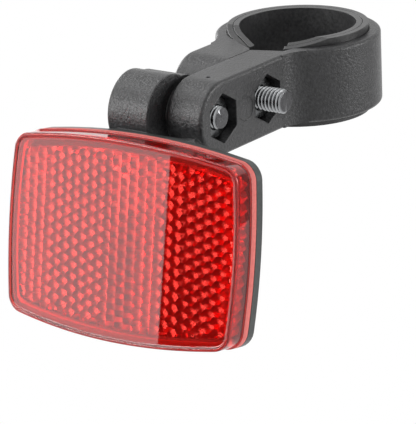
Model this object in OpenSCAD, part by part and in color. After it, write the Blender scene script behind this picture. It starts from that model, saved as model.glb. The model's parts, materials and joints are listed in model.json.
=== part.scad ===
// Bicycle rear reflector on a hinged seatpost clamp.
// Origin: middle of the clamp bore, +Z along the seatpost, the lens looks toward -Y.
// Reflector pieces are drawn in their own frame: x across, y up the lens, z out of its face.

/* [Seatpost and shims] */
// Diameter of the seatpost that the inner shim grips
post_d = 28.6; // [25.4:0.1:30.9]
// Wall of the inner shim
inner_shim_wall = 1.4; // [1:0.1:2]
// Wall of the outer shim
outer_shim_wall = 1.4; // [1:0.1:2]
// Radial clearance round each shim
shim_fit = 0.15; // [0.1:0.05:0.3]
// How far the shims stand out above and below the band
shim_lip = 1.7; // [0.5:0.1:3]
// How far the shims' top edge drops toward their open ends
shim_drop = 2.4; // [1:0.1:3]

/* [Clamp band] */
// Wall of the band
band_wall = 2.8; // [2:0.1:4]
// Height of the band, the arm and the ear
band_h = 18; // [16:0.5:22]
// Gap between arm and ear
seam_gap = 0.3; // [0.2:0.05:0.8]
// Where the seam lies, sideways from the middle of the bore
seam_x = 0.3; // [-1:0.1:1]
// Thickness of the long arm, from the seam to the nut side
arm_t = 9.6; // [9:0.1:12]
// Thickness of the short ear, from the seam to the head side
ear_t = 12.1; // [11:0.1:13]
// Distance from the bore axis to the clamp screw
clamp_reach = 28.3; // [28:0.1:32]
// Distance from the clamp screw to the pivot
pivot_reach = 18.4; // [18.4:0.1:22]
// Rounding of the band's and the arm's outer edges
edge_r = 0.9; // [0.4:0.1:1.2]
// Radius of the blend where the arm and the ear leave the band
root_r = 8; // [5:0.5:10]
// Distance from the bore axis to the corner where the bore runs out into the seam
throat_reach = 21; // [20.6:0.1:21.6]

/* [Screws and nuts] */
// Outside diameter of the screw threads
screw_d = 5.9; // [5:0.1:6]
// Diametral clearance of the screws in the moulded holes
hole_fit = 0.1; // [0.06:0.02:0.2]
// Diameter of the pan heads
head_d = 10; // [9:0.1:10.4]
// Height of the pan heads
head_h = 3.6; // [3:0.1:4]
// Width across flats of the nuts
nut_af = 10; // [9:0.1:10.4]
// Thickness of the nuts
nut_t = 4.9; // [4:0.1:5]
// Clearance between a nut or a head and its pocket, across flats
pocket_fit = 0.6; // [0.3:0.1:0.9]
// Depth of the nuts' outer faces below the arm's face
nut_sink = 2.1; // [1:0.1:2.4]
// Depth of the clamp screw's head pocket in the ear
head_pocket = 4.6; // [4:0.1:6]
// Length of clamp screw that stands out of the arm's face
clamp_tip = 5.2; // [3:0.1:8]
// Depth of the pivot screw's end below the arm's face
pivot_tip_sink = 0.4; // [0:0.1:1]
// Chamfer on screw ends and nut corners
thread_chamfer = 0.5; // [0.2:0.1:0.8]

/* [Knuckle and bracket] */
// Tilt of the lens face above the horizontal
tilt = 9; // [0:1:30]
// Width of the knuckle along the pivot
knuckle_w = 11.2; // [9:0.1:12]
// Gap between the knuckle's cheek and the arm
cheek_gap = 2; // [1:0.1:3]
// Diameter of the raised friction face round the pivot
friction_d = 14; // [11:0.5:16]
// Running gap between the friction face and the arm
friction_gap = 0.05; // [0.02:0.01:0.1]
// Radius of the knuckle round the pivot
boss_r = 8.8; // [8:0.1:9]
// Radius of the knuckle's front lobe
lobe_r = 9.4; // [9:0.1:9.8]
// Distance from the pivot to the centre of the lobe
lobe_out = 5.2; // [4.5:0.1:5.4]
// Depth of the counterbore over the pivot screw's head
counterbore = 4.4; // [4:0.1:5]
// Width of the bracket's foot behind the reflector
foot_w = 20.6; // [18:0.2:24]
// Thickness of the foot along its thin part
foot_t = 1.8; // [1.4:0.1:2.4]
// Thickness of the foot along its end below the ribbed beam
foot_end_t = 3.6; // [3:0.1:4.2]
// Thickness of the beam's flange and of its ribs
rib_t = 1.3; // [1:0.1:2]
// Distance between the beam's ribs
rib_pitch = 9.8; // [8:0.1:10]
// Number of ribs in the beam
rib_count = 3; // [3:1:3]

/* [Reflector] */
// Width of the lens between its corners
lens_w = 62.8; // [58:0.2:68]
// Height of the lens between its corners
lens_h = 41.8; // [40:0.2:44]
// How far the left and right edges bow out
side_bow = 1.2; // [0.5:0.1:2]
// How far the top and bottom edges bow out
top_bow = 2.8; // [1:0.1:3.2]
// Corner radius of the lens
corner_r = 3.2; // [3:0.1:6]
// How far the middle of the lens face stands out beyond its sides
face_bulge = 2; // [1:0.1:2.4]
// Distance from the pivot down to the middle of the reflector
reflector_drop = 27.4; // [26.8:0.1:30]
// Distance from the pivot out to the back of the reflector base
base_out = 15.3; // [14.5:0.1:16]
// Thickness of the reflector base
base_t = 2.3; // [2.2:0.1:3.2]
// Height of the lens flange that sits on the base
flange_t = 2.3; // [2:0.1:3]
// How far the flange and the base stand out beyond the lens wall
flange_out = 0.3; // [0.3:0.1:0.8]
// Height of the lens wall above the flange, at its sides
wall_h = 5.1; // [5:0.1:6]
// Wall of the lens and the plain border round its prisms
lens_wall = 1.7; // [1.4:0.1:2]
// Height of the rim round the lens face
rim_h = 0.35; // [0.2:0.05:0.5]
// Width of the rim round the lens face
rim_w = 0.8; // [0.6:0.1:1]
// Thickness of the lens plate above the prisms, at its sides
plate_t = 1.9; // [1.6:0.1:2.2]
// Width across flats of each cube-corner prism
prism_af = 2.8; // [2.6:0.1:3.4]
// Plain border between the lens's edge and its prisms
prism_border = 2.4; // [2.2:0.1:3.5]
// Floor of the reflector base
floor_t = 1.5; // [1.2:0.1:1.8]
// Width of the base's locating wall inside the lens
spigot_t = 1.1; // [0.8:0.1:1.5]
// Height of the locating wall above the base
spigot_h = 1.6; // [1:0.1:2]
// Clearance of the locating wall inside the lens
spigot_fit = 0.15; // [0.1:0.05:0.3]

/* [Hidden] */
$fn = 96;
eps = 0.01;
through = 1;

// Radii from the seatpost outward
inner_r = post_d / 2;
inner_or = inner_r + inner_shim_wall;
outer_ir = inner_or + shim_fit;
outer_or = outer_ir + outer_shim_wall;
bore_r = outer_or + shim_fit;
band_r = bore_r + band_wall;
shim_top = band_h / 2 + shim_lip;
tail_step = 0.06;

// Places along the arm
clamp_y = -clamp_reach;
pivot_y = clamp_y - pivot_reach;
arm_x0 = seam_x + seam_gap / 2;
arm_x1 = arm_x0 + arm_t;
ear_x1 = seam_x - seam_gap / 2;
ear_x0 = ear_x1 - ear_t;
end_r = band_h / 2;
wall_mid_r = (bore_r + band_r) / 2;
root_y = -sqrt(pow(wall_mid_r, 2) - pow(max(-ear_x0, arm_x1), 2));
pocket_af = nut_af + pocket_fit;
hole_r = (screw_d + hole_fit) / 2;
gate_d = 1.2;
gate_depth = 0.4;
mark_d = 6;
mark_depth = 0.15;

// Places along the pivot
knuckle_x1 = arm_x0 - cheek_gap;
knuckle_x0 = knuckle_x1 - knuckle_w;
clamp_seat_x = ear_x0 + head_pocket;
pivot_seat_x = knuckle_x0 + counterbore;
counterbore_r = (head_d + pocket_fit) / 2 + 0.5;

// Places out of the lens, from the pivot
flange_z = base_out + base_t;
wall_z = flange_z + flange_t;
face_z = wall_z + wall_h;
crown_z = face_z + face_bulge;
prism_z = face_z - rim_h - plate_t;
face_r = (pow(lens_w / 2, 2) + pow(face_bulge, 2)) / (2 * face_bulge);

// Cube-corner lattice: every lattice point lies one cube edge away from its neighbours
lattice = prism_af / sqrt(3);
cube_drop = lattice / sqrt(2);
root_web = 0.15;
lattice_rows = 2 * ceil((lens_h / 2 + top_bow) / (prism_af / 2));
lattice_cols = 2 * ceil((lens_w / 2 + side_bow) / lattice);

// A drawing in the plane of z and y becomes a slab that spans x0 to x1
module across(x0, x1) {
    translate([x1, 0, 0]) rotate([0, -90, 0]) linear_extrude(x1 - x0) children();
}

// A round bar along x
module bar(x0, x1, r) {
    translate([x0, 0, 0]) rotate([0, 90, 0]) cylinder(r = r, h = x1 - x0);
}

// A hexagonal bar along x, with two corners up and down
module hex_bar(x0, x1, af) {
    translate([x0, 0, 0]) rotate([0, 90, 0]) cylinder(d = af / cos(30), h = x1 - x0, $fn = 6);
}

// Moves a drawing in the reflector's frame to its tilted place on the pivot
module on_pivot() {
    translate([0, pivot_y, 0]) rotate([90 - tilt, 0, 0]) children();
}

// Outline of half a bar, from its axis out to r, whose far edge is rounded
module rounded_half(r, len) {
    difference() {
        square([r, len]);
        translate([r - edge_r, len - edge_r]) difference() {
            square(edge_r + eps);
            circle(r = edge_r, $fn = 48);
        }
    }
}

// Bar of stadium section from the band to its round end, with a rounded face at x = len
module lever(end_y, len) {
    translate([0, end_y, 0]) rotate([0, 90, 0]) rotate([0, 0, 180])
        rotate_extrude(angle = 180) rounded_half(end_r, len);
    translate([0, root_y, 0]) rotate([90, 0, 0]) linear_extrude(root_y - end_y) {
        rotate([0, 0, 90]) mirror([0, 1]) rounded_half(end_r, len);
        mirror([0, 1]) rotate([0, 0, 90]) mirror([0, 1]) rounded_half(end_r, len);
    }
}

// Concave blend in plan between the band and a lever's outer face at x
module root_blend(x) {
    cx = x + root_r;
    cy = -sqrt(pow(band_r + root_r, 2) - pow(cx, 2));
    touch = [cx, cy] * band_r / (band_r + root_r);
    translate([0, 0, -band_h / 2]) linear_extrude(band_h) difference() {
        polygon([[x - edge_r, cy], [cx, cy], touch, touch * 0.95, [x - edge_r, root_y]]);
        translate([cx, cy]) circle(r = root_r);
    }
}

// Tangent point on a circle of radius r, on the ear's side, of a line from the throat at reach
function tangent_angle(r, reach) = -90 - acos(r / reach);
function at(r, a) = r * [cos(a), sin(a)];

// The bore runs out into the seam: a straight wall on the ear's side, a pocket on the arm's side
module throat_cut() {
    a = tangent_angle(bore_r, throat_reach);
    pocket_x = arm_x1 - band_wall + 0.8;
    linear_extrude(band_h + 2 * through, center = true) polygon([
        [0, 0], at(bore_r - eps, a), [seam_x, -throat_reach],
        [pocket_x, -throat_reach + band_wall], [pocket_x + 1, -bore_r * 0.79]]);
}

module clamp_band() {
    color([0.16, 0.16, 0.17]) difference() {
        union() {
            rotate_extrude() difference() {
                translate([bore_r - 1, -band_h / 2]) square([band_wall + 1, band_h]);
                for (s = [-1, 1]) translate([band_r - edge_r, s * (band_h / 2 - edge_r)]) difference() {
                    translate([0, s > 0 ? 0 : -edge_r - eps]) square(edge_r + eps);
                    circle(r = edge_r, $fn = 48);
                }
            }
            translate([arm_x0, 0, 0]) lever(pivot_y, arm_t);
            translate([ear_x1, 0, 0]) mirror([1, 0, 0]) lever(clamp_y, ear_t);
            root_blend(arm_x1);
            mirror([1, 0, 0]) root_blend(-ear_x0);
        }
        cylinder(r = bore_r, h = band_h + 2 * through, center = true);
        throat_cut();
        translate([ear_x1, clamp_y - end_r - through, -band_h / 2 - through])
            cube([seam_gap, end_r + clamp_reach - bore_r + 2 * through, band_h + 2 * through]);
        for (y = [clamp_y, pivot_y]) translate([0, y, 0]) {
            bar(ear_x0 - through, arm_x1 + through, hole_r);
            hex_bar(arm_x1 - nut_sink - nut_t, arm_x1 + through, pocket_af);
        }
        translate([0, clamp_y, 0]) hex_bar(ear_x0 - through, clamp_seat_x, pocket_af);
        // round ejector mark between the pockets, and the gate's dimple on the arm's top
        translate([0, (clamp_y + pivot_y) / 2, 0]) bar(arm_x1 - mark_depth, arm_x1 + through, mark_d / 2);
        translate([(arm_x0 + arm_x1) / 2, pivot_y + gate_d, end_r - gate_depth])
            cylinder(d = gate_d, h = gate_depth + through);
    }
}

// A C-shaped shim: a round wall, and a straight tail along the throat on the ear's side
module shim(r0, wall, tail) {
    mid = r0 + wall / 2;
    a0 = tangent_angle(bore_r, throat_reach) + 360;
    a1 = -acos(arm_x1 * 0.62 / mid);
    h = 2 * shim_top;
    difference() {
        union() {
            rotate_extrude(angle = a0 - a1, start = a1) translate([r0, -h / 2]) square([wall, h]);
            rotate([0, 0, a0]) translate([r0 + tail_step, -1, -h / 2]) cube([wall - 2 * tail_step, tail + 1, h]);
        }
        // the top edge falls away toward the open ends
        translate([-band_r, 0, 0]) rotate([90, 0, 90]) linear_extrude(2 * band_r) polygon([
            [-bore_r / 2, shim_top], [-bore_r, shim_top - shim_drop], [-2 * bore_r, shim_top - shim_drop],
            [-2 * bore_r, shim_top + through], [-bore_r / 2, shim_top + through]]);
    }
}

module outer_shim() {
    color([0.13, 0.13, 0.14]) shim(outer_ir, outer_shim_wall, band_wall * 3);
}

module inner_shim() {
    color([0.2, 0.2, 0.21]) shim(inner_r, inner_shim_wall, band_wall * 2.7);
}

// Pan-head screw along x, seated on x = seat and ending at x = tip, with a cross recess
module pan_screw(seat, tip) {
    dome_r = (pow(head_d / 2, 2) + pow(head_h * 0.7, 2)) / (2 * head_h * 0.7);
    recess_w = head_d * 0.12;
    difference() {
        union() {
            intersection() {
                bar(seat - head_h, seat, head_d / 2);
                translate([seat - head_h + dome_r, 0, 0]) sphere(r = dome_r);
            }
            bar(seat - eps, tip - thread_chamfer, screw_d / 2);
            translate([tip - thread_chamfer, 0, 0]) rotate([0, 90, 0])
                cylinder(r1 = screw_d / 2, r2 = screw_d / 2 - thread_chamfer, h = thread_chamfer);
        }
        for (a = [0, 90]) rotate([a, 0, 0]) translate([seat - head_h - through, -recess_w / 2, -head_d / 4])
            cube([head_h * 0.55 + through, recess_w, head_d / 2]);
    }
}

module clamp_screw() {
    color([0.45, 0.45, 0.47]) translate([0, clamp_y, 0]) pan_screw(clamp_seat_x, arm_x1 + clamp_tip);
}

module pivot_screw() {
    color([0.45, 0.45, 0.47]) translate([0, pivot_y, 0]) pan_screw(pivot_seat_x, arm_x1 - pivot_tip_sink);
}

// Hexagonal nut along x, its corners turned down on the outer face
module hex_nut(x0) {
    outer = nut_af / 2 / cos(30);
    difference() {
        intersection() {
            hex_bar(x0, x0 + nut_t, nut_af);
            translate([x0, 0, 0]) rotate([0, 90, 0]) union() {
                cylinder(r = outer + 1, h = nut_t - thread_chamfer);
                translate([0, 0, nut_t - thread_chamfer])
                    cylinder(r1 = outer, r2 = nut_af / 2 - 0.1, h = thread_chamfer);
            }
        }
        bar(x0 - through, x0 + nut_t + through, screw_d / 2);
    }
}

module clamp_nut() {
    color([0.5, 0.5, 0.52]) translate([0, clamp_y, 0]) hex_nut(arm_x1 - nut_sink - nut_t);
}

module pivot_nut() {
    color([0.5, 0.5, 0.52]) translate([0, pivot_y, 0]) hex_nut(arm_x1 - nut_sink - nut_t);
}

// Side view of the knuckle: the round boss on the pivot and the lobe in front of it
module knuckle_profile() {
    circle(r = boss_r);
    translate([lobe_out, 0]) circle(r = lobe_r);
    translate([0, -boss_r]) square([lobe_out, boss_r]);
}

// Knuckle, foot and ribbed beam in one moulding
module tilt_bracket() {
    beam_x0 = -foot_w / 2;
    beam_x1 = knuckle_x1;
    beam_mid = (beam_x0 + beam_x1) / 2;
    flange_in = boss_r + 0.2;
    beam_y1 = -boss_r - 2.6;
    last_rib = beam_y1 - (rib_count - 0.8) * rib_pitch;
    foot_top = -reflector_drop + lens_h / 2 + top_bow;
    foot_bottom = -reflector_drop - lens_h / 2;
    color([0.15, 0.15, 0.16]) on_pivot() difference() {
        union() {
            across(knuckle_x0, knuckle_x1) knuckle_profile();
            bar(knuckle_x1 - eps, arm_x0 - friction_gap, friction_d / 2);
            // the foot, thicker below the beam, with a square lug at its upper corner
            translate([-foot_w / 2, foot_bottom, base_out - foot_t])
                cube([foot_w, foot_top - foot_bottom, foot_t]);
            translate([-foot_w / 2, foot_bottom, base_out - foot_end_t])
                cube([foot_w, last_rib - foot_bottom, foot_end_t]);
            translate([foot_w / 2 - 1.6, foot_top - 1.6, base_out - foot_end_t]) cube([1.6, 1.6, foot_end_t]);
            // the neck that joins the lobe to the foot
            across(beam_x0, beam_x1) polygon([
                [0, -boss_r + eps], [flange_in, beam_y1], [base_out, beam_y1], [base_out, foot_top - lobe_r * 0.4],
                [lobe_out, 0]]);
            // the beam: an outer flange on a middle web, with cross ribs
            across(beam_x0, beam_x1) polygon([
                [flange_in, beam_y1 + eps], [flange_in, last_rib], [flange_in + rib_t, last_rib - rib_t],
                [flange_in + rib_t, beam_y1 + eps]]);
            across(beam_mid - rib_t / 2, beam_mid + rib_t / 2) polygon([
                [flange_in + eps, beam_y1 + eps], [flange_in + eps, last_rib],
                [base_out - eps, last_rib], [base_out - eps, beam_y1 + eps]]);
            for (i = [1 : rib_count])
                translate([beam_x0, last_rib + (rib_count - i) * rib_pitch, flange_in + eps])
                    cube([beam_x1 - beam_x0, rib_t, base_out - flange_in - 2 * eps]);
        }
        bar(knuckle_x0 - through, arm_x0 + through, hole_r);
        bar(knuckle_x0 - through, pivot_seat_x, counterbore_r);
    }
}

// Corner arcs and subdivided sides of a rounded rectangle, half sizes a and b
function rounded_rectangle(a, b, r, steps = 6) = [
    for (q = [0 : 3], k = [0 : steps + 9])
        let (sx = (q == 0 || q == 3) ? 1 : -1, sy = q < 2 ? 1 : -1,
             upright = q % 2 == 1,
             c = [sx * (a - r), sy * (b - r)],
             t = (k - steps) / 10,
             from = c + r * [cos(90 * (q + 1)), sin(90 * (q + 1))],
             to = upright ? [from[0], -from[1]] : [-from[0], from[1]])
        k <= steps ? c + r * [cos(90 * (q + k / steps)), sin(90 * (q + k / steps))] : from + t * (to - from)];

// The lens outline: a rounded rectangle whose four sides bow outward, drawn in by inset
function bowed(inset) = let (a = lens_w / 2 - inset, b = lens_h / 2 - inset) [
    for (p = rounded_rectangle(a, b, max(corner_r - inset, 0.3)))
        [p[0] * (1 + side_bow / a * (1 - pow(p[1] / b, 2))), p[1] * (1 + top_bow / b * (1 - pow(p[0] / a, 2)))]];

// Slab of the lens outline between two heights
module lens_slab(inset, z0, z1) {
    translate([0, -reflector_drop, z0]) linear_extrude(z1 - z0) polygon(bowed(inset));
}

// Everything below the bulged face, lowered by drop
module under_face(drop) {
    translate([0, -reflector_drop, crown_z - drop - face_r]) rotate([90, 0, 0])
        cylinder(r = face_r, h = lens_h * 2, center = true, $fn = 720);
}

module reflector_base() {
    inside = lens_wall + spigot_fit;
    color([0.17, 0.18, 0.17]) on_pivot() {
        difference() {
            union() {
                lens_slab(-flange_out, base_out, flange_z);
                lens_slab(inside, flange_z - eps, flange_z + spigot_h);
            }
            lens_slab(inside + spigot_t, base_out + floor_t, flange_z + spigot_h + through);
        }
    }
}

// Which of the three kinds a lattice point is: 0 a cube's root, 1 its middle corners, 2 its tip
function kind(col, row) = (col - floor(row / 2) + 2 * row + 300) % 3;
function lattice_point(col, row) = [
    (col + (row % 2) / 2 - lattice_cols / 2) * lattice, (row - lattice_rows / 2) * prism_af / 2,
    -kind(col, row) * cube_drop - root_web];

// True for a lattice point within the plain border
function in_field(p) =
    let (a = lens_w / 2 - prism_border, b = lens_h / 2 - prism_border, r = corner_r - rim_w,
         x = abs(p[0]), y = abs(p[1]))
    x <= a + side_bow * (1 - pow(y / b, 2)) && y <= b + top_bow * (1 - pow(x / a, 2))
    && !(x > a - r && y > b - r && norm([x - a + r, y - b + r]) > r);

// The cube-corner array: a flat-topped sheet whose underside is a tiling of cube corners.
// A lattice triangle is kept where its corners lie in the field, and an open edge gets a wall.
module prism_sheet() {
    per_row = lattice_cols + 1;
    under = [for (r = [0 : lattice_rows], c = [0 : lattice_cols]) lattice_point(c, r)];
    top = [for (p = under) [p[0], p[1], plate_t / 2]];
    lift = len(under);
    function i(c, r) = r * per_row + c;
    tiling = [for (r = [0 : lattice_rows - 1], c = [0 : lattice_cols - 1])
        let (a = i(c, r), b = i(c + 1, r), d = i(c, r + 1), e = i(c + 1, r + 1))
        each r % 2 == 0 ? [[a, b, d], [b, e, d]] : [[a, b, e], [a, e, d]]];
    kept = [for (t = tiling) if (in_field(under[t[0]]) && in_field(under[t[1]]) && in_field(under[t[2]])) t];
    walls = [for (t = kept, k = [0 : 2])
        let (p = t[k], q = t[(k + 1) % 3], o = t[(k + 2) % 3])
        if (!in_field(under[p] + under[q] - under[o])) [q, p, p + lift, q + lift]];
    lid = [for (t = kept) [t[2] + lift, t[1] + lift, t[0] + lift]];
    polyhedron(concat(under, top), concat(kept, walls, lid));
}

module prism_lens() {
    color([0.85, 0.08, 0.08]) on_pivot() {
        difference() {
            union() {
                lens_slab(-flange_out, flange_z, wall_z);
                intersection() {
                    lens_slab(0, wall_z - eps, crown_z + 1);
                    under_face(0);
                }
            }
            lens_slab(lens_wall, flange_z - through, prism_z);
            difference() {
                lens_slab(rim_w, prism_z + plate_t / 2, crown_z + 2);
                under_face(rim_h);
            }
        }
        translate([0, -reflector_drop, prism_z]) prism_sheet();
    }
}

clamp_band();
outer_shim();
inner_shim();
clamp_screw();
clamp_nut();
pivot_screw();
pivot_nut();
tilt_bracket();
reflector_base();
prism_lens();
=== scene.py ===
# Bicycle rear reflector on a hinged seatpost clamp: finishes, threads, prisms and studio light
import json
import math
import bmesh
import bpy
from mathutils import Matrix, Vector
from mathutils.geometry import tessellate_polygon


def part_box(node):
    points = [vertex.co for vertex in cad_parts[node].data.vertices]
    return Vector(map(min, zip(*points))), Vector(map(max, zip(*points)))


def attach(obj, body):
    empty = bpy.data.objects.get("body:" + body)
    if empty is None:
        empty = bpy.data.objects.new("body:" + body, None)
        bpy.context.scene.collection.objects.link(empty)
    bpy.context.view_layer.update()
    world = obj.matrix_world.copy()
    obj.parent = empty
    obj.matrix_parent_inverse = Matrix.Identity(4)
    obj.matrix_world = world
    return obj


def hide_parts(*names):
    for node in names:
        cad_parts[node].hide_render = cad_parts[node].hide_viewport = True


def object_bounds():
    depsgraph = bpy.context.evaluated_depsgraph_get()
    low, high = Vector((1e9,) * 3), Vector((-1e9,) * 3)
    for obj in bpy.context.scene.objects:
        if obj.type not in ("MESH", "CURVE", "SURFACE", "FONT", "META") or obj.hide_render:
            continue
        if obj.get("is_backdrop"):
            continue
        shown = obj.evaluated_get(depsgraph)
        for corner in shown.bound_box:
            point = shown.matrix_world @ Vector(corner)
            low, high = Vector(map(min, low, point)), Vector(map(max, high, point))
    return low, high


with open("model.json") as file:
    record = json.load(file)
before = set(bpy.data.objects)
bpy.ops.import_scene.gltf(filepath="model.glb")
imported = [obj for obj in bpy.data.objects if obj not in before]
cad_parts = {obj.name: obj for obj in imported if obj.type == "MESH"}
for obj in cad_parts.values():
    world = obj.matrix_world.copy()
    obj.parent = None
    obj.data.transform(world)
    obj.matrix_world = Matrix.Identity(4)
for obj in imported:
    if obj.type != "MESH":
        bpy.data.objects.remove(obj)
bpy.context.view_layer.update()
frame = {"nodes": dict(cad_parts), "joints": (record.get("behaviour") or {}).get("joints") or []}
nodes = frame["nodes"]
mm = 0.001
print("frame loaded:", len(nodes), "nodes")


# A socket that takes part in arithmetic: every operator adds one Math node
class Wire:
    def __init__(self, graph, socket):
        self.graph, self.socket = graph, socket

    def math(self, operation, *others):
        return self.graph.number(operation, self, *others)

    def __add__(self, other): return self.math("ADD", other)
    def __radd__(self, other): return self.math("ADD", other)
    def __sub__(self, other): return self.math("SUBTRACT", other)
    def __rsub__(self, other): return self.graph.number("SUBTRACT", other, self)
    def __mul__(self, other): return self.math("MULTIPLY", other)
    def __truediv__(self, other): return self.math("DIVIDE", other)
    def __lt__(self, other): return self.math("LESS_THAN", other)
    def __gt__(self, other): return self.math("GREATER_THAN", other)
    def clamp(self): return self.math("MAXIMUM", 0).math("MINIMUM", 1)


# A node tree under construction: one method adds any node, sets its settings, then its sockets
class Graph:
    def __init__(self, tree):
        self.tree = tree
        self.tree.nodes.clear()

    def node(self, kind, settings=None, inputs=None, output=0):
        made = self.tree.nodes.new(kind)
        for key, value in (settings or {}).items():
            setattr(made, key, value)
        for key, value in (inputs or {}).items():
            if isinstance(value, Wire):
                self.link(value, made.inputs[key])
            else:
                made.inputs[key].default_value = value
        return Wire(self, made.outputs[output])

    def number(self, operation, *values):
        return self.node("ShaderNodeMath", {"operation": operation}, dict(enumerate(values)))

    def link(self, wire, socket):
        self.tree.links.new(wire.socket, socket)


# A material's node tree; patterns are placed by object coordinates
class Finish(Graph):
    def __init__(self, name):
        self.material = bpy.data.materials.new(name)
        self.material.use_nodes = True
        super().__init__(self.material.node_tree)

    def place(self, shift=(0, 0, 0), scale=(1, 1, 1)):
        where = self.node("ShaderNodeTexCoord", output="Object")
        return self.node("ShaderNodeMapping", {}, {"Vector": where, "Location": shift, "Scale": scale})

    def noise(self, scale, detail=3, rough=0.5):
        return self.node("ShaderNodeTexNoise", {}, {
            "Vector": self.place(), "Scale": scale, "Detail": detail, "Roughness": rough})

    def mixColour(self, mask, a, b):
        # Inputs 0, 6 and 7 and output 2 are the Mix node's factor, colours and result
        return self.node("ShaderNodeMix", {"data_type": "RGBA"}, {0: mask, 6: a, 7: b}, output=2)

    def bump(self, height, distance, strength, normal=None):
        inputs = {"Height": height, "Distance": distance, "Strength": strength}
        if normal is not None:
            inputs["Normal"] = normal
        return self.node("ShaderNodeBump", {}, inputs)

    def bevel(self, radius):
        return self.node("ShaderNodeBevel", {"samples": 6}, {"Radius": radius})

    def finish(self, shader):
        output = self.tree.nodes.new("ShaderNodeOutputMaterial")
        self.link(shader, output.inputs["Surface"])
        return self.material


def opaque(r, g, b):
    return (r, g, b, 1)


# Moulded plastics: a spark-eroded grain over a slow cloud, edges softened as the mould leaves them
bandFinish = {"dark": (0.006, 0.006, 0.0065), "pale": (0.052, 0.052, 0.054), "roughness": 0.36, "ior": 1.46,
              "grain": 1500, "grainRough": 0.6, "grainDepth": 0.25 * mm, "grainGloss": 0.2, "contrast": 3,
              "cloud": 140, "cloudShare": 0.4, "cloudGloss": 0.14, "bump": 0.8, "edge": 0.45 * mm}
shimFinish = dict(bandFinish, dark=(0.012, 0.012, 0.0125), pale=(0.045, 0.045, 0.046),
                  grainDepth=0.05 * mm, edge=0.2 * mm)
baseFinish = dict(bandFinish, dark=(0.03, 0.034, 0.033), pale=(0.06, 0.065, 0.063), roughness=0.34,
                  grainDepth=0.05 * mm, edge=0.25 * mm)


def mouldedMaterial(name, spec):
    g = Finish(name)
    grain = g.noise(spec["grain"], rough=spec["grainRough"])
    cloud = g.noise(spec["cloud"])
    speck = (grain - 0.5) * spec["contrast"] + 0.5
    mask = (cloud * spec["cloudShare"] + speck * (1 - spec["cloudShare"])).clamp()
    gloss = (cloud - 0.5) * spec["cloudGloss"] + (grain - 0.5) * spec["grainGloss"]
    return g.finish(g.node("ShaderNodeBsdfPrincipled", {}, {
        "Base Color": g.mixColour(mask, opaque(*spec["dark"]), opaque(*spec["pale"])),
        "Roughness": gloss + spec["roughness"], "IOR": spec["ior"],
        "Normal": g.bump(grain, spec["grainDepth"], spec["bump"], g.bevel(spec["edge"]))}))


# Zinc plate: on a screw it is pale on the crests and darker down in the thread, between the two radii in mm; the
# darker colour is painted shade, in the grooves and on the middle of the cut end.
# The nuts, deep in their pockets, take two dark shades of the crest's colour: painted shade for the pockets'
# shadow.
zincFinish = {"crest": (0.4, 0.41, 0.42), "valleyShade": (0.13, 0.13, 0.135), "valleyFrom": 2.42, "valleyTo": 2.9,
              "nutPaintedShades": (0.22, 0.38), "roughness": 0.22, "cloud": 700, "cloudDetail": 4, "cloudTone": 0.3,
              "cloudGloss": 0.3, "grainDepth": 0.01 * mm, "bump": 0.5, "edge": 0.12 * mm}


def zincMaterial(name, spec, axisY, threaded=True):
    g = Finish(name)
    cloud = g.noise(spec["cloud"], spec["cloudDetail"])
    if threaded:
        fromAxis = g.place((0, -axisY, 0), (0, 1, 1))
        away = g.node("ShaderNodeVectorMath", {"operation": "LENGTH"}, {0: fromAxis}, output="Value")
        crest = ((away / mm - spec["valleyFrom"]) / (spec["valleyTo"] - spec["valleyFrom"])).clamp()
        mask = crest * (cloud * spec["cloudTone"] + (1 - spec["cloudTone"] / 2))
        # Painted shade: the valley colour darkens what lies nearer the axis
        tone = g.mixColour(mask, opaque(*spec["valleyShade"]), opaque(*spec["crest"]))
    else:
        # Painted shade: the nut's zinc is darkened for the pocket it sits in
        dark, pale = (opaque(*(share * c for c in spec["crest"])) for share in spec["nutPaintedShades"])
        tone = g.mixColour(cloud, dark, pale)
    return g.finish(g.node("ShaderNodeBsdfPrincipled", {}, {
        "Base Color": tone, "Metallic": 1.0, "Roughness": (cloud - 0.5) * spec["cloudGloss"] + spec["roughness"],
        "Normal": g.bump(cloud, spec["grainDepth"], spec["bump"], g.bevel(spec["edge"]))}))


# Clear red plastic: the light that crosses it is tinted, the polished faces mirror
redFinish = {"tint": (1.0, 0.055, 0.042), "roughness": 0.015, "ior": 1.49, "clear": 0.97,
             "ripple": 90, "rippleDetail": 2, "rippleDepth": 0.02 * mm, "bump": 0.3}
pinFinish = dict(redFinish, clear=0.84)  # the pins scatter some light


def lensMaterial(name, spec):
    g = Finish(name)
    ripple = g.noise(spec["ripple"], spec["rippleDetail"])
    return g.finish(g.node("ShaderNodeBsdfPrincipled", {}, {
        "Base Color": opaque(*spec["tint"]), "Roughness": spec["roughness"], "IOR": spec["ior"],
        "Transmission Weight": spec["clear"], "Normal": g.bump(ripple, spec["rippleDepth"], spec["bump"])}))


# Painted light on the lens's flange: a pale frosted red on its underside and outer side stands in for the light
# the clear flange carries
flangeLightFinish = {"pale": (0.9, 0.24, 0.21), "deep": (0.6, 0.1, 0.09), "speck": 1500, "speckDepth": 0.05 * mm,
              "speckGloss": 0.2, "roughness": 0.6, "bump": 0.5}


def frostedMaterial(name, spec):
    g = Finish(name)
    speck = g.noise(spec["speck"])
    return g.finish(g.node("ShaderNodeBsdfPrincipled", {}, {
        "Base Color": g.mixColour(speck, opaque(*spec["deep"]), opaque(*spec["pale"])),
        "Roughness": speck * spec["speckGloss"] + spec["roughness"],
        "Normal": g.bump(speck, spec["speckDepth"], spec["bump"])}))


def setMaterial(obj, material):
    obj.data.materials.clear()
    obj.data.materials.append(material)


def addObject(name, mesh):
    obj = bpy.data.objects.new(name, mesh)
    bpy.context.scene.collection.objects.link(obj)
    return obj


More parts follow.
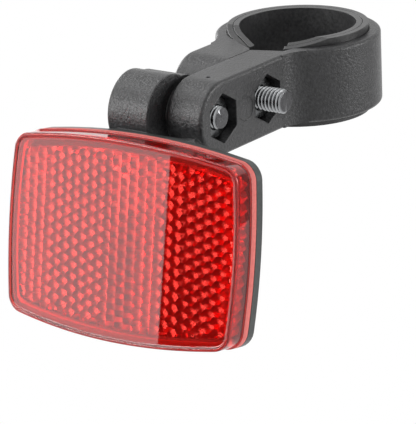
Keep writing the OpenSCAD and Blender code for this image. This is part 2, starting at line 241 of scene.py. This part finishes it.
black = mouldedMaterial("bandPlastic", bandFinish)
for name in ("clamp_band", "tilt_bracket"):
    setMaterial(nodes[name], black)
shimPlastic = mouldedMaterial("shimPlastic", shimFinish)
for name in ("outer_shim", "inner_shim"):
    setMaterial(nodes[name], shimPlastic)
setMaterial(nodes["reflector_base"], mouldedMaterial("basePlastic", baseFinish))
red = lensMaterial("redLens", redFinish)
pinRed = lensMaterial("redPins", pinFinish)
flangeLight = frostedMaterial("frostedWeld", flangeLightFinish)
print("finishes set")


# The lens: a clear red moulding whose inside carries hexagonal cube-corner pins. Lengths are in mm.
# Reflector coordinates: x across, v up the lens from its middle, n out of the face from the pivot.
lensSpec = {"tilt": 9, "drop": 27.4, "width": 62.8, "height": 41.8, "sideBow": 1.2, "topBow": 2.8, "corner": 3.2,
            "baseTop": 17.6, "flangeTop": 19.9, "sideTop": 25.0, "bulge": 2.0, "flangeOut": 0.3, "wall": 1.7,
            "rimHeight": 0.35, "rimWidth": 0.8, "plate": 1.9, "airGap": 0.04, "faceRings": 26,
            "fieldInset": (2.3, 2.3, 2.6, 3.1), "fieldCorner": 1.2}
# Vertical strips of pins: right edge, direction of the cubes' first face, lean of their axes and its direction.
# The lattice reaches as many columns and rows each way from the middle, and the field's outline clips it.
pinSpec = {"acrossFlats": 2.8, "web": 0.12, "reach": (15, 11), "strips": [
    (-24.0, 0, 12, 0), (-21.0, 0, 15, 0), (-4.0, 30, 12, 0), (4.6, 0, 9, 0), (10.9, 0, 14, 0), (15.8, 30, 6, 0),
    (40.0, 30, 15, 0)]}
# What counts as equal: on a cutting line, one point, a share of an edge, a crossing, two level heights
near = {"line": 1e-9, "point": 1e-6, "share": 1e-4, "crossing": 1e-10, "level": 1e-5}
clearFinish, flangeLightSlot, pinsFinish = 0, 1, 2  # places in the lens's list of materials


def onReflector(x, v, n, spec=lensSpec):
    tilt = math.radians(spec["tilt"])
    pivot = frame["joints"][0]["pos_m"]
    up = v - spec["drop"]
    return (x * mm, pivot[1] - (n * math.cos(tilt) - up * math.sin(tilt)) * mm,
            pivot[2] + (n * math.sin(tilt) + up * math.cos(tilt)) * mm)


def bowedOutline(spec, inset, corner=None, arcSteps=8, sideSteps=22):
    # A rounded rectangle with bowed sides, counter-clockwise from its right edge
    a, b = spec["width"] / 2 - inset, spec["height"] / 2 - inset
    r = max(spec["corner"] - inset, 0.3) if corner is None else corner
    flat = []
    for quarter in range(4):
        sx, sy = (1 if quarter in (0, 3) else -1), (1 if quarter < 2 else -1)
        for k in range(arcSteps + 1):
            turn = math.pi / 2 * (quarter + k / arcSteps)
            flat.append((sx * (a - r) + r * math.cos(turn), sy * (b - r) + r * math.sin(turn)))
        x, y = flat[-1]
        endX, endY = (x, -y) if quarter % 2 else (-x, y)
        for k in range(1, sideSteps):
            flat.append((x + (endX - x) * k / sideSteps, y + (endY - y) * k / sideSteps))
    sideBow, topBow = spec["sideBow"] / a, spec["topBow"] / b
    return [(x * (1 + sideBow * (1 - (y / b) ** 2)), y * (1 + topBow * (1 - (x / a) ** 2))) for x, y in flat]


def faceHeight(spec, x):
    # The face is part of a cylinder that bulges in the middle
    radius = ((spec["width"] / 2) ** 2 + spec["bulge"] ** 2) / (2 * spec["bulge"])
    return spec["sideTop"] + spec["bulge"] - radius + math.sqrt(radius ** 2 - x ** 2)


# A mesh under construction in reflector coordinates, with a finish and shading for each face
class Shell:
    def __init__(self):
        self.points, self.faces, self.smooth, self.finish = [], [], [], []

    def add(self, corners, finish=pinsFinish):
        start = len(self.points)
        self.points += corners
        self.faces.append(tuple(range(start, start + len(corners))))
        self.smooth.append(False)
        self.finish.append(finish)

    def ring(self, outline, height):
        start = len(self.points)
        self.points += [(x, v, height(x) if callable(height) else height) for x, v in outline]
        return list(range(start, start + len(outline)))

    def loft(self, low, high, finish=clearFinish):
        count = len(low)
        for i in range(count):
            j = (i + 1) % count
            self.faces.append((low[i], low[j], high[j], high[i]))
            self.smooth.append(True)
            self.finish.append(finish)

    def fan(self, ring, middle):
        self.points.append(middle)
        for i in range(len(ring)):
            self.faces.append((ring[i], ring[(i + 1) % len(ring)], len(self.points) - 1))
            self.smooth.append(True)
            self.finish.append(clearFinish)

    def toObject(self, name, finishes):
        mesh = bpy.data.meshes.new(name)
        mesh.from_pydata([onReflector(*p) for p in self.points], [], self.faces)
        mesh.polygons.foreach_set("use_smooth", self.smooth)
        for finish in finishes:
            mesh.materials.append(finish)
        mesh.polygons.foreach_set("material_index", self.finish)
        return addObject(name, mesh)


def between(p, q, share):
    return p[0] + (q[0] - p[0]) * share, p[1] + (q[1] - p[1]) * share


def clipPolygon(polygon, tags, a, b):
    # Keeps what lies left of the line a to b; a new edge along it gets the tag None
    values = [(b[0] - a[0]) * (y - a[1]) - (b[1] - a[1]) * (x - a[0]) for x, y in polygon]
    if min(values) >= -near["line"]:
        return polygon, tags
    kept, keptTags = [], []
    for i, p in enumerate(polygon):
        j = (i + 1) % len(polygon)
        inside = values[i] >= 0
        if inside:
            kept.append(p)
            keptTags.append(tags[i])
        if inside != (values[j] >= 0):
            kept.append(between(p, polygon[j], values[i] / (values[i] - values[j])))
            keptTags.append(None if inside else tags[i])
    return kept, keptTags


def slopesOf(turn, lean, toward):
    # Slopes in x and v of the three faces round a pin's tip, square to each other round an axis that leans
    away = math.radians(toward)
    hinge = Vector((0, 0, 1)).cross(Vector((math.cos(away), math.sin(away), 0)))
    rotation = Matrix.Rotation(math.radians(lean), 3, hinge)
    across, down = math.sqrt(2 / 3), -1 / math.sqrt(3)
    slopes = []
    for k in range(3):
        face = math.radians(turn + 120 * k)
        normal = rotation @ Vector((across * math.cos(face), across * math.sin(face), down))
        slopes.append((-normal.x / normal.z, -normal.y / normal.z))
    return slopes


def hexagonAt(centre, radius):
    return [(centre[0] + radius * math.cos(math.pi / 3 * k), centre[1] + radius * math.sin(math.pi / 3 * k))
            for k in range(6)]


def layCells(spec, field, ceiling):
    # The lattice's cells, each clipped to the field; "beyond" names the neighbour across each edge of the outline
    flats = spec["acrossFlats"]
    radius = flats / math.sqrt(3)
    columns, rows = spec["reach"]
    cells = {}
    for i in range(-columns, columns + 1):
        odd = i % 2
        for j in range(-rows, rows + 1):
            centre = (1.5 * radius * i, flats * (j + odd / 2))
            outline = hexagonAt(centre, radius)
            beyond = [(i + 1, j + odd), (i, j + 1), (i - 1, j + odd),
                      (i - 1, j + odd - 1), (i, j - 1), (i + 1, j + odd - 1)]
            for a, b in zip(field, field[1:] + field[:1]):
                if len(outline) > 2:
                    outline, beyond = clipPolygon(outline, beyond, a, b)
            if len(outline) < 3:
                continue
            slopes = slopesOf(*next(strip[1:] for strip in spec["strips"] if centre[0] < strip[0]))
            rise = max(sx * dx + sv * dv for sx, sv in slopes for dx, dv in hexagonAt((0, 0), radius))
            cells[(i, j)] = {"centre": centre, "outline": outline, "beyond": beyond, "slopes": slopes,
                             "tip": ceiling - spec["web"] - rise}
    return cells


def heightAt(cell, p):
    x, v = p[0] - cell["centre"][0], p[1] - cell["centre"][1]
    return cell["tip"] + max(sx * x + sv * v for sx, sv in cell["slopes"])


def breaksAlong(cell, p, q):
    # Shares of the way from p to q at which two of the pin's faces meet
    cx, cv = cell["centre"]
    found = []
    for k in range(3):
        a, b = cell["slopes"][k], cell["slopes"][(k + 1) % 3]
        dx, dv = a[0] - b[0], a[1] - b[1]
        atP = dx * (p[0] - cx) + dv * (p[1] - cv)
        atQ = dx * (q[0] - cx) + dv * (q[1] - cv)
        if atP * atQ < 0:
            found.append(atP / (atP - atQ))
    return found


def addTip(shell, cell):
    # Each of the three faces covers the part of the outline where it is the highest
    cx, cv = cell["centre"]
    for k, (sx, sv) in enumerate(cell["slopes"]):
        piece, tags = cell["outline"], cell["beyond"]
        for ahead in (1, 2):
            ox, ov = cell["slopes"][(k + ahead) % 3]
            if len(piece) > 2:
                piece, tags = clipPolygon(piece, tags, (cx, cv), (cx + (sv - ov), cv - (sx - ox)))
        if len(piece) > 2:
            shell.add([(x, v, cell["tip"] + sx * (x - cx) + sv * (v - cv)) for x, v in reversed(piece)])


def addWalls(shell, cells, key, ceiling):
    # Upright walls from this pin's edges to its neighbours' or, at the field's edge, to the ceiling
    cell = cells[key]
    outline = cell["outline"]
    for n, tag in enumerate(cell["beyond"]):
        p, q = outline[n], outline[(n + 1) % len(outline)]
        other = cells.get(tag) if tag else None
        if math.dist(p, q) < near["point"] or (other and tag < key):
            continue

        def heights(share):
            at = between(p, q, share)
            return heightAt(cell, at), heightAt(other, at) if other else ceiling

        marks = set(breaksAlong(cell, p, q) + (breaksAlong(other, p, q) if other else []))
        marks = [0.0] + sorted(m for m in marks if near["share"] < m < 1 - near["share"]) + [1.0]
        crossings = []
        for t0, t1 in zip(marks, marks[1:]):
            (a0, b0), (a1, b1) = heights(t0), heights(t1)
            gap0, gap1 = b0 - a0, b1 - a1
            if gap0 * gap1 < -near["crossing"]:
                crossings.append(t0 + (t1 - t0) * gap0 / (gap0 - gap1))
        marks = sorted(marks + crossings)
        for t0, t1 in zip(marks, marks[1:]):
            (a0, b0), (a1, b1) = heights(t0), heights(t1)
            if max(abs(b0 - a0), abs(b1 - a1)) < near["level"]:
                continue
            wall = [(*between(p, q, t0), a0), (*between(p, q, t1), a1)]
            if abs(b1 - a1) > near["point"]:
                wall.append((*between(p, q, t1), b1))
            if abs(b0 - a0) > near["point"]:
                wall.append((*between(p, q, t0), b0))
            shell.add(wall if (a0 + a1) < (b0 + b1) else wall[::-1])


def buildPins(shell, spec, lens):
    ceiling = lens["sideTop"] - lens["rimHeight"] - lens["plate"]
    left, right, bottom, top = lens["fieldInset"]
    inner = dict(lens, width=lens["width"] - left - right, height=lens["height"] - bottom - top)
    outline = bowedOutline(inner, 0, lens["fieldCorner"], arcSteps=5, sideSteps=16)
    field = [(x + (left - right) / 2, v + (bottom - top) / 2) for x, v in outline]
    cells = layCells(spec, field, ceiling)
    for key, cell in cells.items():
        addTip(shell, cell)
        addWalls(shell, cells, key, ceiling)
    return field, ceiling


def buildLens(spec, pins):
    shell = Shell()
    field, ceiling = buildPins(shell, pins, spec)
    cavity = bowedOutline(spec, spec["wall"])
    flat = [(x, v, ceiling) for x, v in cavity + field]
    for triangle in tessellate_polygon([[Vector((x, v, 0)) for x, v in loop] for loop in (cavity, field)]):
        a, b, c = (flat[i] for i in triangle)
        area = (b[0] - a[0]) * (c[1] - a[1]) - (b[1] - a[1]) * (c[0] - a[0])
        shell.add([a, b, c] if area < 0 else [a, c, b], clearFinish)
    bottom, ledge = spec["baseTop"] + spec["airGap"], spec["flangeTop"]
    out, rim, sunk = -spec["flangeOut"], spec["rimWidth"], spec["rimHeight"]

    def under(drop):
        return lambda x: faceHeight(spec, x) - drop

    # The section of the edge as inset and height: inside of the wall, flange, side and raised rim
    profile = [(spec["wall"], ceiling), (spec["wall"], bottom), (out + 0.15, bottom), (out, bottom + 0.15),
               (out, ledge - 0.3), (out + 0.09, ledge - 0.09), (out + 0.3, ledge), (0.03, ledge + 0.1),
               (0, ledge + 0.4), (0, under(0.55)), (0, under(0.3)), (0.09, under(0.09)), (0.3, under(0)),
               (rim - 0.25, under(0)), (rim - 0.08, under(0.07)), (rim + 0.02, under(sunk - 0.1)),
               (rim + 0.14, under(sunk)), (rim + 0.4, under(sunk))]
    rings = [shell.ring(bowedOutline(spec, inset), height) for inset, height in profile]
    for i, (low, high) in enumerate(zip(rings, rings[1:])):
        shell.loft(low, high, flangeLightSlot if i in (1, 2, 3) else clearFinish)  # painted light: pale frosted red on the flange's underside and outer side
    last = bowedOutline(spec, profile[-1][0])
    face = [rings[-1]]
    for k in range(1, spec["faceRings"]):
        share = 1 - k / spec["faceRings"]
        face.append(shell.ring([(x * share, v * share) for x, v in last], under(sunk)))
    for low, high in zip(face, face[1:]):
        shell.loft(low, high)
    shell.fan(face[-1], (0, 0, under(sunk)(0)))
    return shell.toObject("prismLens", (red, flangeLight, pinRed))


lens = buildLens(lensSpec, pinSpec)
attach(lens, "reflector")
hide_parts("prism_lens")
print("lens built:", len(lens.data.polygons), "faces")


# Turned hardware lies along x. A grid is wrapped round the axis: its rows run along the piece, its columns
# round it. A thread's first and last rows close on the axis. A nut's are the two rims of its bore, and the wall
# between them is left out, where the screw fills it. The grid's faces point inwards until they are recalculated,
# which makeNut does and makeScrew does only for the head.
class Turned(Graph):
    def __init__(self, name, inputs):
        super().__init__(bpy.data.node_groups.new(name, "GeometryNodeTree"))
        self.identifiers = {}
        for key, (kind, value) in inputs.items():
            socket = self.tree.interface.new_socket(key, in_out="INPUT", socket_type=kind)
            self.identifiers[key] = socket.identifier
            if value is not None:
                socket.default_value = value
        self.tree.interface.new_socket("Geometry", in_out="OUTPUT", socket_type="NodeSocketGeometry")
        self.entry = self.tree.nodes.new("NodeGroupInput")

    def input(self, key):
        return Wire(self, self.entry.outputs[key])

    def wrapGrid(self, rows, columns):
        grid = self.node("GeometryNodeMeshGrid", {}, {
            "Size X": 1.0, "Size Y": 1.0, "Vertices X": rows, "Vertices Y": columns}, output="Mesh")
        separate = self.tree.nodes.new("ShaderNodeSeparateXYZ")
        self.link(self.node("GeometryNodeInputPosition"), separate.inputs["Vector"])
        row = (Wire(self, separate.outputs["X"]) + 0.5) * (rows - 1)
        turn = (Wire(self, separate.outputs["Y"]) + 0.5) * math.tau
        return grid, row, turn

    def revolve(self, mesh, along, radius, turn, centre):
        out = self.node("ShaderNodeCombineXYZ", {}, {
            "X": along, "Y": radius * turn.math("COSINE"), "Z": radius * turn.math("SINE")})
        placed = self.node("ShaderNodeVectorMath", {"operation": "ADD"}, {0: out, 1: centre})
        moved = self.node("GeometryNodeSetPosition", {}, {"Geometry": mesh, "Position": placed})
        return self.node("GeometryNodeMergeByDistance", {}, {"Geometry": moved, "Distance": 1e-6})

    def close(self, mesh, smooth=True):
        mesh = self.node("GeometryNodeSetShadeSmooth", {}, {"Geometry": mesh, "Shade Smooth": smooth})
        mesh = self.node("GeometryNodeRealizeInstances", {}, {"Geometry": mesh})
        mesh = self.node("GeometryNodeSetMaterial", {}, {"Geometry": mesh, "Material": self.input("Material")})
        output = self.tree.nodes.new("NodeGroupOutput")
        self.link(mesh, output.inputs["Geometry"])
        return self


def fromTree(name, graph, values):
    # The tree's result as a plain mesh in an object at the origin
    start = addObject(name, bpy.data.meshes.new(name))
    modifier = start.modifiers.new("build", "NODES")
    modifier.node_group = graph.tree
    for key, value in values.items():
        modifier[graph.identifiers[key]] = value
    evaluated = start.evaluated_get(bpy.context.evaluated_depsgraph_get())
    mesh = bpy.data.meshes.new_from_object(evaluated)
    start.modifiers.remove(modifier)
    start.data = mesh
    mesh.name = name
    return start


number, whole = "NodeSocketFloat", "NodeSocketInt"
vector, material = "NodeSocketVector", "NodeSocketMaterial"


def threadTree():
    g = Turned("rolledThread", {
        "Start": (number, 0.0), "Length": (number, 0.03), "Radius": (number, 0.003), "Pitch": (number, 0.001),
        "Depth": (number, 0.0006), "Crest": (number, 0.3), "Chamfer": (number, 0.0005),
        "Rows": (whole, 200), "Columns": (whole, 49), "Centre": (vector, None), "Material": (material, None)})
    rows = g.input("Rows")
    mesh, row, turn = g.wrapGrid(rows, g.input("Columns"))
    share = ((row - 1) / (rows - 3)).clamp()
    along = share * g.input("Length")
    phase = (along / g.input("Pitch") + turn / math.tau).math("FRACT")
    ridge = 1 - (phase - 0.5).math("ABSOLUTE") * 2
    cut = (ridge * (1 + g.input("Crest")) - g.input("Crest")).clamp()
    radius = g.input("Radius") - g.input("Depth") * cut
    lead = g.input("Length") - along + g.input("Radius") - g.input("Chamfer")
    radius = radius.math("MINIMUM", lead)
    inside = (row > 0.5) * (row < rows - 1.5)
    mesh = g.revolve(mesh, along + g.input("Start"), radius * inside, turn, g.input("Centre"))
    return g.close(mesh)


def nutTree():
    # Facing is the end face's radius as a share of the flats, Slope how fast the chamfer widens from there
    g = Turned("hexNut", {
        "Start": (number, 0.0), "Length": (number, 0.005), "Flats": (number, 0.01), "Bore": (number, 0.003),
        "Facing": (number, 0.475), "Slope": (number, 1.75), "Mouth Width": (number, 0.00035),
        "Mouth Depth": (number, 0.0004), "Rows": (whole, 32), "Columns": (whole, 97), "Centre": (vector, None),
        "Material": (material, None)})
    rows = g.input("Rows")
    mesh, row, turn = g.wrapGrid(rows, g.input("Columns"))
    share = ((row - 2) / (rows - 5)).clamp()
    along = share * g.input("Length")
    flat = (turn / (math.pi / 3)).math("FRACT") * (math.pi / 3) - math.pi / 6
    hexagon = g.input("Flats") / 2 / flat.math("COSINE")
    fromEnd = along.math("MINIMUM", g.input("Length") - along)
    turnedDown = g.input("Flats") * g.input("Facing") + fromEnd * g.input("Slope")
    outer = hexagon.math("MINIMUM", turnedDown)
    onBore = (row < 0.5) + (row > rows - 1.5)
    onMouth = ((row > 0.5) * (row < 1.5)) + ((row > rows - 2.5) * (row < rows - 1.5))
    bore = g.input("Bore")
    mouth = bore + g.input("Mouth Width")
    radius = outer * (1 - (onBore + onMouth).clamp()) + bore * onBore + mouth * onMouth
    along = along + onBore * g.input("Mouth Depth") * (1 - share * 2)
    mesh = g.revolve(mesh, along + g.input("Start"), radius, turn, g.input("Centre"))
    return g.close(mesh, False)


# Screws: the head's profile is given as depth from its top in mm and share of its radius, and the cross recess
# as depth, length and width of its arms at the mouth and at the bottom
screwSpec = {"pitch": 1.0, "depth": 0.58, "crest": 0.25, "chamfer": 0.5, "diameter": 5.9, "rowsPerTurn": 14,
             "columns": 49, "headHeight": 3.6, "headDiameter": 10, "intoHead": 0.2, "sharpAngle": 35,
             "headProfile": [(0, 0), (0, 0.3), (0.12, 0.55), (0.4, 0.76), (0.9, 0.9), (1.7, 0.98), (3.2, 1),
                             (3.5, 0.97), (3.6, 0.93), (3.6, 0.6), (3.7, 0)],
             "cross": ((-0.5, 5.6, 1.25), (2.1, 2.4, 0.85))}
nutSpec = {"flats": 10, "bore": 5.5, "facing": 0.475, "slope": 1.75, "mouthWidth": 0.35, "mouthDepth": 0.4,
           "rows": 32, "columns": 97, "sharpAngle": 30}
thread, nut = threadTree(), nutTree()


def lathe(profile, steps=64):
    # Points (x, radius) turned round the x axis; the ends lie on the axis
    points, faces = [], []
    for x, r in profile:
        for k in range(steps):
            turn = math.tau * k / steps
            points.append((x, r * math.cos(turn), r * math.sin(turn)))
    for i in range(len(profile) - 1):
        for k in range(steps):
            j = (k + 1) % steps
            faces.append((i * steps + k, i * steps + j, (i + 1) * steps + j, (i + 1) * steps + k))
    return points, faces


def pushCross(obj, cross, x, y, z):
    # Sinks a tapering cross recess in the head whose top lies at x
    mesh = bpy.data.meshes.new("crossCutter")
    points, faces = [], []
    for arm in (0, 1):
        for deep, length, width in cross:
            for s, t in ((-1, -1), (1, -1), (1, 1), (-1, 1)):
                a, b = s * length / 2, t * width / 2
                if arm:
                    a, b = -b, a
                points.append((x + deep * mm, y + a * mm, z + b * mm))
        k = arm * 8
        faces += [(k, k + 3, k + 2, k + 1), (k + 4, k + 5, k + 6, k + 7)]
        faces += [(k + i, k + (i + 1) % 4, k + 4 + (i + 1) % 4, k + 4 + i) for i in range(4)]
    mesh.from_pydata(points, [], faces)
    cutter = addObject("crossCutter", mesh)
    cut = obj.modifiers.new("cross", "BOOLEAN")
    cut.operation, cut.solver, cut.object, cut.use_self = "DIFFERENCE", "EXACT", cutter, True
    result = bpy.data.meshes.new_from_object(obj.evaluated_get(bpy.context.evaluated_depsgraph_get()))
    obj.modifiers.remove(cut)
    obj.data = result
    bpy.data.objects.remove(cutter)


def joinMeshes(name, parts):
    joined = bmesh.new()
    for part in parts:
        joined.from_mesh(part.data)
        bpy.data.objects.remove(part)
    mesh = bpy.data.meshes.new(name)
    joined.to_mesh(mesh)
    joined.free()
    return addObject(name, mesh)


def makeScrew(name, node, spec, zinc):
    low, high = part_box(node)
    y, z = (low.y + high.y) / 2, (low.z + high.z) / 2
    start = low.x + spec["headHeight"] * mm - spec["intoHead"] * mm
    length = high.x - start
    shank = fromTree(name + "Shank", thread, {
        "Start": start, "Length": length, "Radius": spec["diameter"] / 2 * mm, "Pitch": spec["pitch"] * mm,
        "Depth": spec["depth"] * mm, "Crest": spec["crest"], "Chamfer": spec["chamfer"] * mm,
        "Rows": int(length / (spec["pitch"] * mm) * spec["rowsPerTurn"]), "Columns": spec["columns"],
        "Centre": (0, y, z), "Material": zinc})
    r = spec["headDiameter"] / 2
    points, faces = lathe([(low.x + x * mm, share * r * mm) for x, share in spec["headProfile"]])
    mesh = bpy.data.meshes.new(name + "Head")
    mesh.from_pydata([(px, py + y, pz + z) for px, py, pz in points], [], faces)
    head = addObject(name + "Head", mesh)
    tidyShell(mesh)
    mesh.polygons.foreach_set("use_smooth", [True] * len(mesh.polygons))
    pushCross(head, spec["cross"], low.x, y, z)
    screw = joinMeshes(name, [shank, head])
    screw.data.set_sharp_from_angle(angle=math.radians(spec["sharpAngle"]))
    setMaterial(screw, zinc)
    return screw


def tidyShell(mesh):
    # Merges doubled points and turns every face outward
    shell = bmesh.new()
    shell.from_mesh(mesh)
    bmesh.ops.remove_doubles(shell, verts=shell.verts, dist=1e-7)
    bmesh.ops.dissolve_degenerate(shell, edges=shell.edges, dist=1e-7)
    bmesh.ops.recalc_face_normals(shell, faces=shell.faces)
    shell.to_mesh(mesh)
    shell.free()


def makeNut(name, node, spec, zinc):
    low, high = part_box(node)
    y, z = (low.y + high.y) / 2, (low.z + high.z) / 2
    made = fromTree(name, nut, {
        "Start": low.x, "Length": high.x - low.x, "Flats": spec["flats"] * mm, "Bore": spec["bore"] / 2 * mm,
        "Facing": spec["facing"], "Slope": spec["slope"], "Mouth Width": spec["mouthWidth"] * mm,
        "Mouth Depth": spec["mouthDepth"] * mm, "Rows": spec["rows"], "Columns": spec["columns"],
        "Centre": (0, y, z), "Material": zinc})
    tidyShell(made.data)
    made.data.set_sharp_from_angle(angle=math.radians(spec["sharpAngle"]))
    return made


for place in ("clamp", "pivot"):
    low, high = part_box(place + "_screw")
    axisY = (low.y + high.y) / 2
    screw = makeScrew(place + "Screw", place + "_screw", screwSpec,
                      zincMaterial(place + "ScrewZinc", zincFinish, axisY))
    fastener = makeNut(place + "Nut", place + "_nut", nutSpec,
                       zincMaterial(place + "NutZinc", zincFinish, axisY, False))
    for piece, node in ((screw, place + "_screw"), (fastener, place + "_nut")):
        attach(piece, "clamp")
        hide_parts(node)
print("screws and nuts made")


# The camera stands where the photograph's outlines place it, in mm and degrees
cameraSpec = {"place": (472.12, -694.135, 233.038), "yaw": 35.632, "pitch": 17.741, "roll": -2.237,
              "focalPx": 3556.743, "centrePx": (220.055, 206.118), "imagePx": (416, 424), "sensor": 36.0}


def makeCamera(spec):
    yaw, pitch, roll = (math.radians(spec[k]) for k in ("yaw", "pitch", "roll"))
    ahead = Vector((-math.sin(yaw) * math.cos(pitch), math.cos(yaw) * math.cos(pitch), -math.sin(pitch)))
    right = ahead.cross(Vector((0, 0, 1))).normalized()
    up = right.cross(ahead)
    rolledRight = right * math.cos(roll) + up * math.sin(roll)
    rolledUp = up * math.cos(roll) - right * math.sin(roll)
    data = bpy.data.cameras.new("photoCamera")
    width, height = spec["imagePx"]
    data.sensor_fit, data.sensor_width = "HORIZONTAL", spec["sensor"]
    data.lens = spec["focalPx"] / width * spec["sensor"]
    data.shift_x = (width / 2 - spec["centrePx"][0]) / width
    data.shift_y = (spec["centrePx"][1] - height / 2) / width
    data.clip_start, data.clip_end = 0.01, 20
    data.dof.use_dof = False
    camera = bpy.data.objects.new("photoCamera", data)
    turn = Matrix((rolledRight, rolledUp, -ahead)).transposed()
    camera.matrix_world = Matrix.Translation(Vector(spec["place"]) * mm) @ turn.to_4x4()
    bpy.context.scene.collection.objects.link(camera)
    bpy.context.scene.camera = camera


makeCamera(cameraSpec)


# Studio: a pale floor well below the part, a pale surround, soft lamps, and dark cards that only mirroring and
# clear surfaces see. Each lamp or card has its azimuth from the front of the lens toward +X, its rise above the
# horizon, its distance and size in metres, and its radiance or its grey.
studio = {"floorDrop": 0.22, "floorSize": 3.0, "floorColour": (0.8, 0.8, 0.8), "surround": 0.22}
lamps = {"keySoftbox": (-44.6, 0, 1.2, (0.8, 1.0), 2.3),
         "upperSoftbox": (-37, 17, 1.1, (0.6, 0.3), 10.0),
         "leftSoftbox": (-106, 14, 1.2, (0.6, 0.9), 5.0),
         "topSoftbox": (-60, 62, 1.3, (0.9, 0.9), 2.7),
         "cameraFill": (34, 18, 1.3, (0.5, 0.4), 1.2),
         "rightFill": (122, 12, 1.4, (0.6, 0.8), 8.0)}
cards = {"frontCard": (-13.75, 0, 1.15, (0.5, 0.5), 0.02), "sideCard": (150, -6, 0.9, (0.6, 0.8), 0.3)}


def direction(azimuth, rise):
    a, e = math.radians(azimuth), math.radians(rise)
    return Vector((math.sin(a) * math.cos(e), -math.cos(a) * math.cos(e), math.sin(e)))


def facing(place):
    return Matrix.Translation(place) @ (-place).to_track_quat("-Z", "Y").to_matrix().to_4x4()


def backgroundWhite(g, shader, makeWhite):
    # White where the camera, a mirror or clear plastic looks at it
    camera, glossy, through = (g.node("ShaderNodeLightPath", output="Is %s Ray" % kind)
                               for kind in ("Camera", "Glossy", "Transmission"))
    shown = (camera + glossy + through).clamp()
    return g.node("ShaderNodeMixShader", {}, {0: shown, 1: shader, 2: makeWhite})


def makeFloor(spec):
    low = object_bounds()[0][2] - spec["floorDrop"]
    s = spec["floorSize"]
    mesh = bpy.data.meshes.new("paleFloor")
    mesh.from_pydata([(-s, -s, low), (s, -s, low), (s, s, low), (-s, s, low)], [], [(0, 1, 2, 3)])
    floor = addObject("paleFloor", mesh)
    g = Finish("paleFloor")
    matt = g.node("ShaderNodeBsdfDiffuse", {}, {"Color": opaque(*spec["floorColour"])})
    white = g.node("ShaderNodeEmission", {}, {"Color": opaque(1, 1, 1), "Strength": 1.0})
    setMaterial(floor, g.finish(backgroundWhite(g, matt, white)))
    floor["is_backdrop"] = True


def makeWorld(spec):
    world = bpy.data.worlds.new("studio")
    bpy.context.scene.world = world
    world.use_nodes = True
    g = Graph(world.node_tree)
    dim = g.node("ShaderNodeBackground", {}, {"Color": opaque(1, 1, 1), "Strength": spec["surround"]})
    white = g.node("ShaderNodeBackground", {}, {"Color": opaque(1, 1, 1), "Strength": 1.0})
    output = g.tree.nodes.new("ShaderNodeOutputWorld")
    g.link(backgroundWhite(g, dim, white), output.inputs["Surface"])


def makeLamp(name, azimuth, rise, distance, size, radiance):
    data = bpy.data.lights.new(name, "AREA")
    data.shape, data.size, data.size_y = "RECTANGLE", *size
    data.energy = radiance * math.pi * size[0] * size[1]
    lamp = bpy.data.objects.new(name, data)
    lamp.matrix_world = facing(direction(azimuth, rise) * distance)
    lamp.visible_camera = False
    bpy.context.scene.collection.objects.link(lamp)


def makeCard(name, azimuth, rise, distance, size, grey):
    place = facing(direction(azimuth, rise) * distance)
    corners = [place @ Vector((sx * size[0] / 2, sy * size[1] / 2, 0))
               for sx, sy in ((-1, -1), (1, -1), (1, 1), (-1, 1))]
    mesh = bpy.data.meshes.new(name)
    mesh.from_pydata(corners, [], [(0, 1, 2, 3)])
    card = addObject(name, mesh)
    g = Finish(name)
    setMaterial(card, g.finish(g.node("ShaderNodeBsdfDiffuse", {}, {"Color": opaque(grey, grey, grey)})))
    card.visible_camera = card.visible_shadow = card.visible_diffuse = False
    card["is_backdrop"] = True


makeFloor(studio)
makeWorld(studio)
for name, spec in lamps.items():
    makeLamp(name, *spec)
for name, spec in cards.items():
    makeCard(name, *spec)
print("studio ready")

bpy.context.scene.view_settings.view_transform = "Standard"
